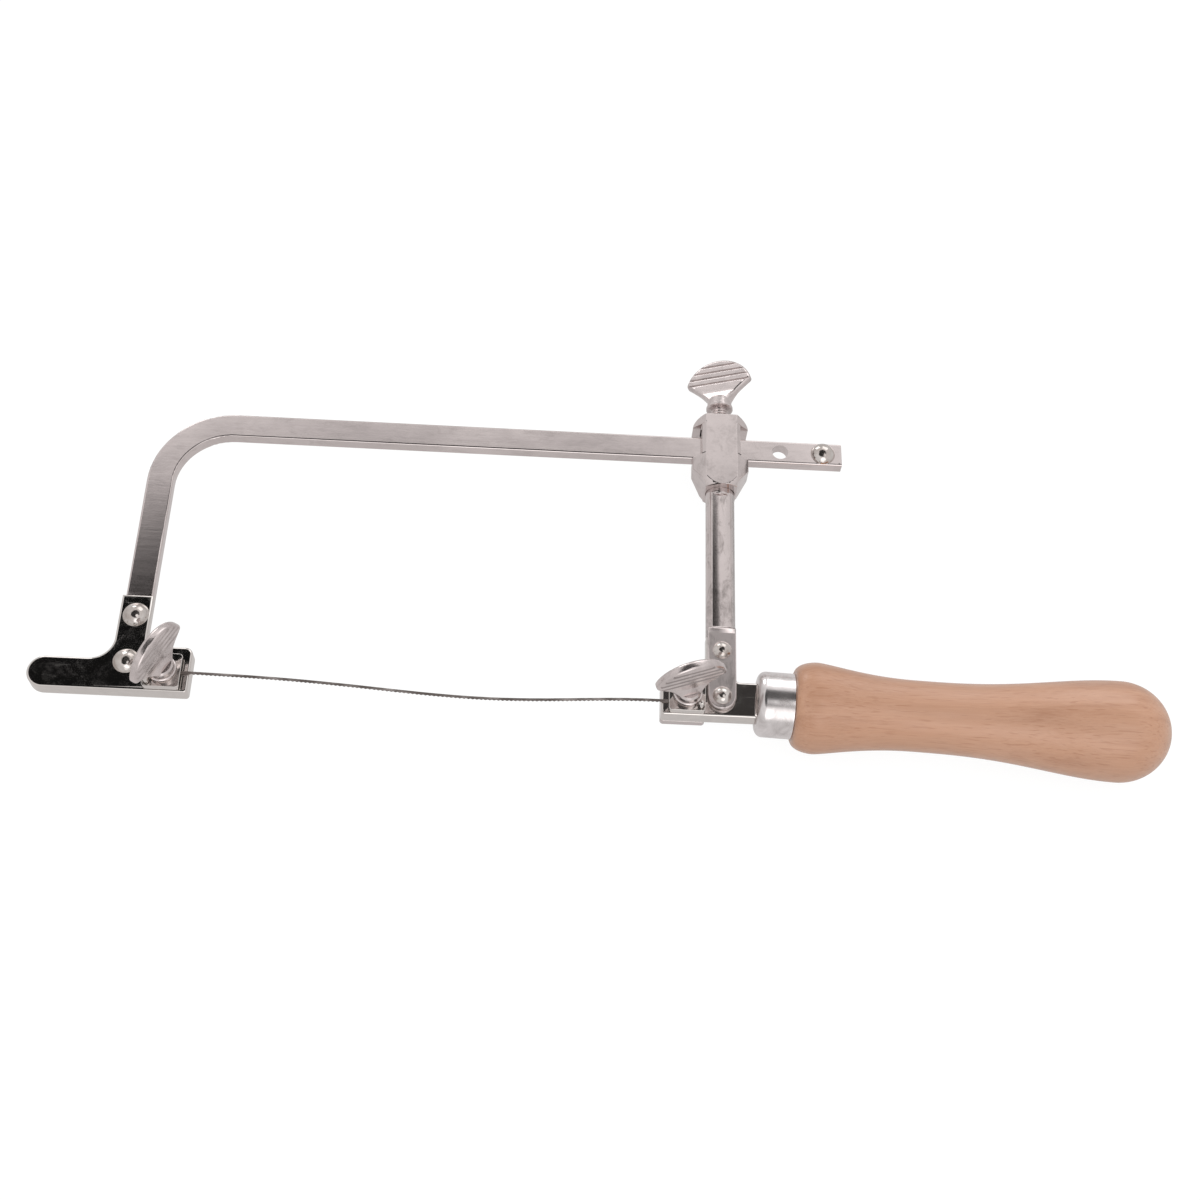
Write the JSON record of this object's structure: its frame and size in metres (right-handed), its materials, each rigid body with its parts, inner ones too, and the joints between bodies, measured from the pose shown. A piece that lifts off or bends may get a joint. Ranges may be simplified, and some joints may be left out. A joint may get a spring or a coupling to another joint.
{
  "type": "fret saw",
  "caption": "Adjustable piercing saw: flat bar sliding through a clamp head on a post, thin toothed blade between two screw jaws, turned wooden handle.",
  "frame": {"origin": "under the middle of the part's box, on the level of its lowest point, which is the handle's swell", "axes": "+X along the bar and blade towards the handle, +Y from the blade to the bar, +Z out of the frame's face on the side of the blade screws"},
  "size_m": [0.269, 0.1132, 0.0316],
  "materials": {
    "satin_nickel": "satin nickel plate, lightly brushed",
    "polished_nickel": "polished nickel plate",
    "plain_steel": "plain milled steel",
    "blade_steel": "hardened spring steel, dull",
    "beech": "turned beech under clear satin lacquer"
  },
  "bodies": {
    "frame": {"slide_head": "satin_nickel", "post": "satin_nickel", "rear_jaw": "polished_nickel", "rear_nut_plate": "satin_nickel", "rear_rivets": "polished_nickel", "rear_guide_pin": "polished_nickel", "ferrule": "polished_nickel", "handle": "beech", "blade": "blade_steel"},
    "bar": {"frame_bar": "satin_nickel", "stop_rivet": "polished_nickel", "front_foot": "polished_nickel", "front_rivets": "polished_nickel", "front_guide_pin": "polished_nickel"},
    "front_clamp": {"front_clamp_plate": "polished_nickel"},
    "front_screw": {"front_thumb_screw": "satin_nickel"},
    "rear_clamp": {"rear_clamp_plate": "polished_nickel"},
    "rear_screw": {"rear_thumb_screw": "satin_nickel"},
    "shoe": {"pressure_shoe": "plain_steel"},
    "slide_screw": {"slide_thumb_screw": "satin_nickel"}
  },
  "joints": [
    {"name": "bar_slide", "type": "slide", "parent": "frame", "child": "bar", "axis": [1, 0, 0], "range_m": [-0.018, 0.06], "deforming": ["blade"]},
    {"name": "front_clamp_lift", "type": "slide", "parent": "bar", "child": "front_clamp", "axis": [0, 0, 1], "range_m": [0, 0.0016]},
    {"name": "front_screw_turn", "type": "hinge", "parent": "front_clamp", "child": "front_screw", "pos_m": [-0.10277, -0.04152, 0.02205], "axis": [0, 0, 1], "range_deg": [0, 720]},
    {"name": "rear_clamp_lift", "type": "slide", "parent": "frame", "child": "rear_clamp", "axis": [0, 0, 1], "range_m": [0, 0.0016]},
    {"name": "rear_screw_turn", "type": "hinge", "parent": "rear_clamp", "child": "rear_screw", "pos_m": [0.01963, -0.04152, 0.02205], "axis": [0, 0, 1], "range_deg": [0, 720]},
    {"name": "shoe_lift", "type": "slide", "parent": "frame", "child": "shoe", "axis": [0, 1, 0], "range_m": [0, 0.0008]},
    {"name": "slide_screw_turn", "type": "hinge", "parent": "shoe", "child": "slide_screw", "pos_m": [0.02783, 0.04848, 0.01205], "axis": [0, 1, 0], "range_deg": [0, 360]}
  ],
  "couplings": [
    {"joint": "front_screw_turn", "follows": "front_clamp_lift", "rad_per_m": 7854},
    {"joint": "rear_screw_turn", "follows": "rear_clamp_lift", "rad_per_m": 7854},
    {"joint": "slide_screw_turn", "follows": "shoe_lift", "rad_per_m": 7854}
  ]
}
